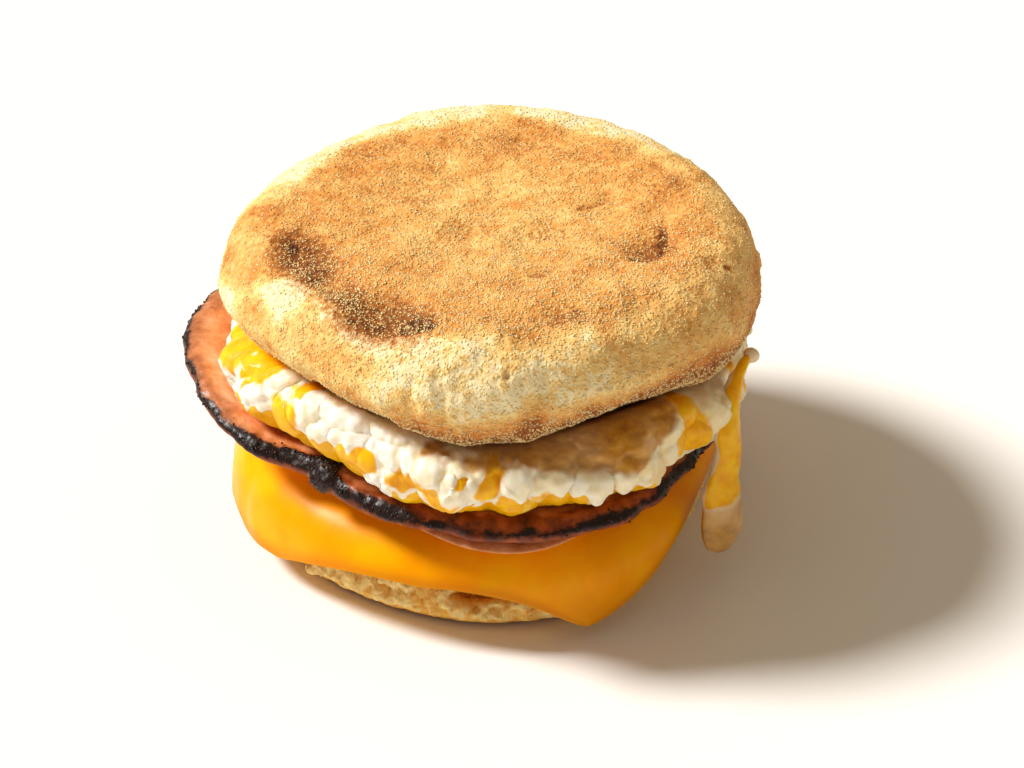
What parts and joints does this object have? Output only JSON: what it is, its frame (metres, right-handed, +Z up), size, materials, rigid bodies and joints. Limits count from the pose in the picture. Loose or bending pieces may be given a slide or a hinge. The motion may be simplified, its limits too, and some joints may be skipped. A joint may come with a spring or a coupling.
{
  "type": "breakfast sandwich",
  "caption": "Breakfast sandwich: a split English muffin with draped melted cheese, ham with a charred rim and a folded egg that hangs out at one side.",
  "frame": {"origin": "the point on the bottom muffin half's flat base under the middle of the stack", "axes": "+Z up through the stack; -Y towards the side where a corner of the cheese hangs down; +X towards the side where the egg's tongue hangs down"},
  "size_m": [0.1033, 0.0991, 0.061],
  "materials": {
    "muffin": "dry and floury, browned where it met the griddle",
    "cheese": "smooth and glossy, melted",
    "ham": "moist, with a charred crust round its rim",
    "egg": "moist, white marbled with yolk"
  },
  "bodies": {
    "root": {"bottom_muffin": "muffin", "cheese": "cheese", "lower_ham": "ham", "upper_ham": "ham", "egg": "egg", "top_muffin": "muffin"}
  },
  "joints": []
}
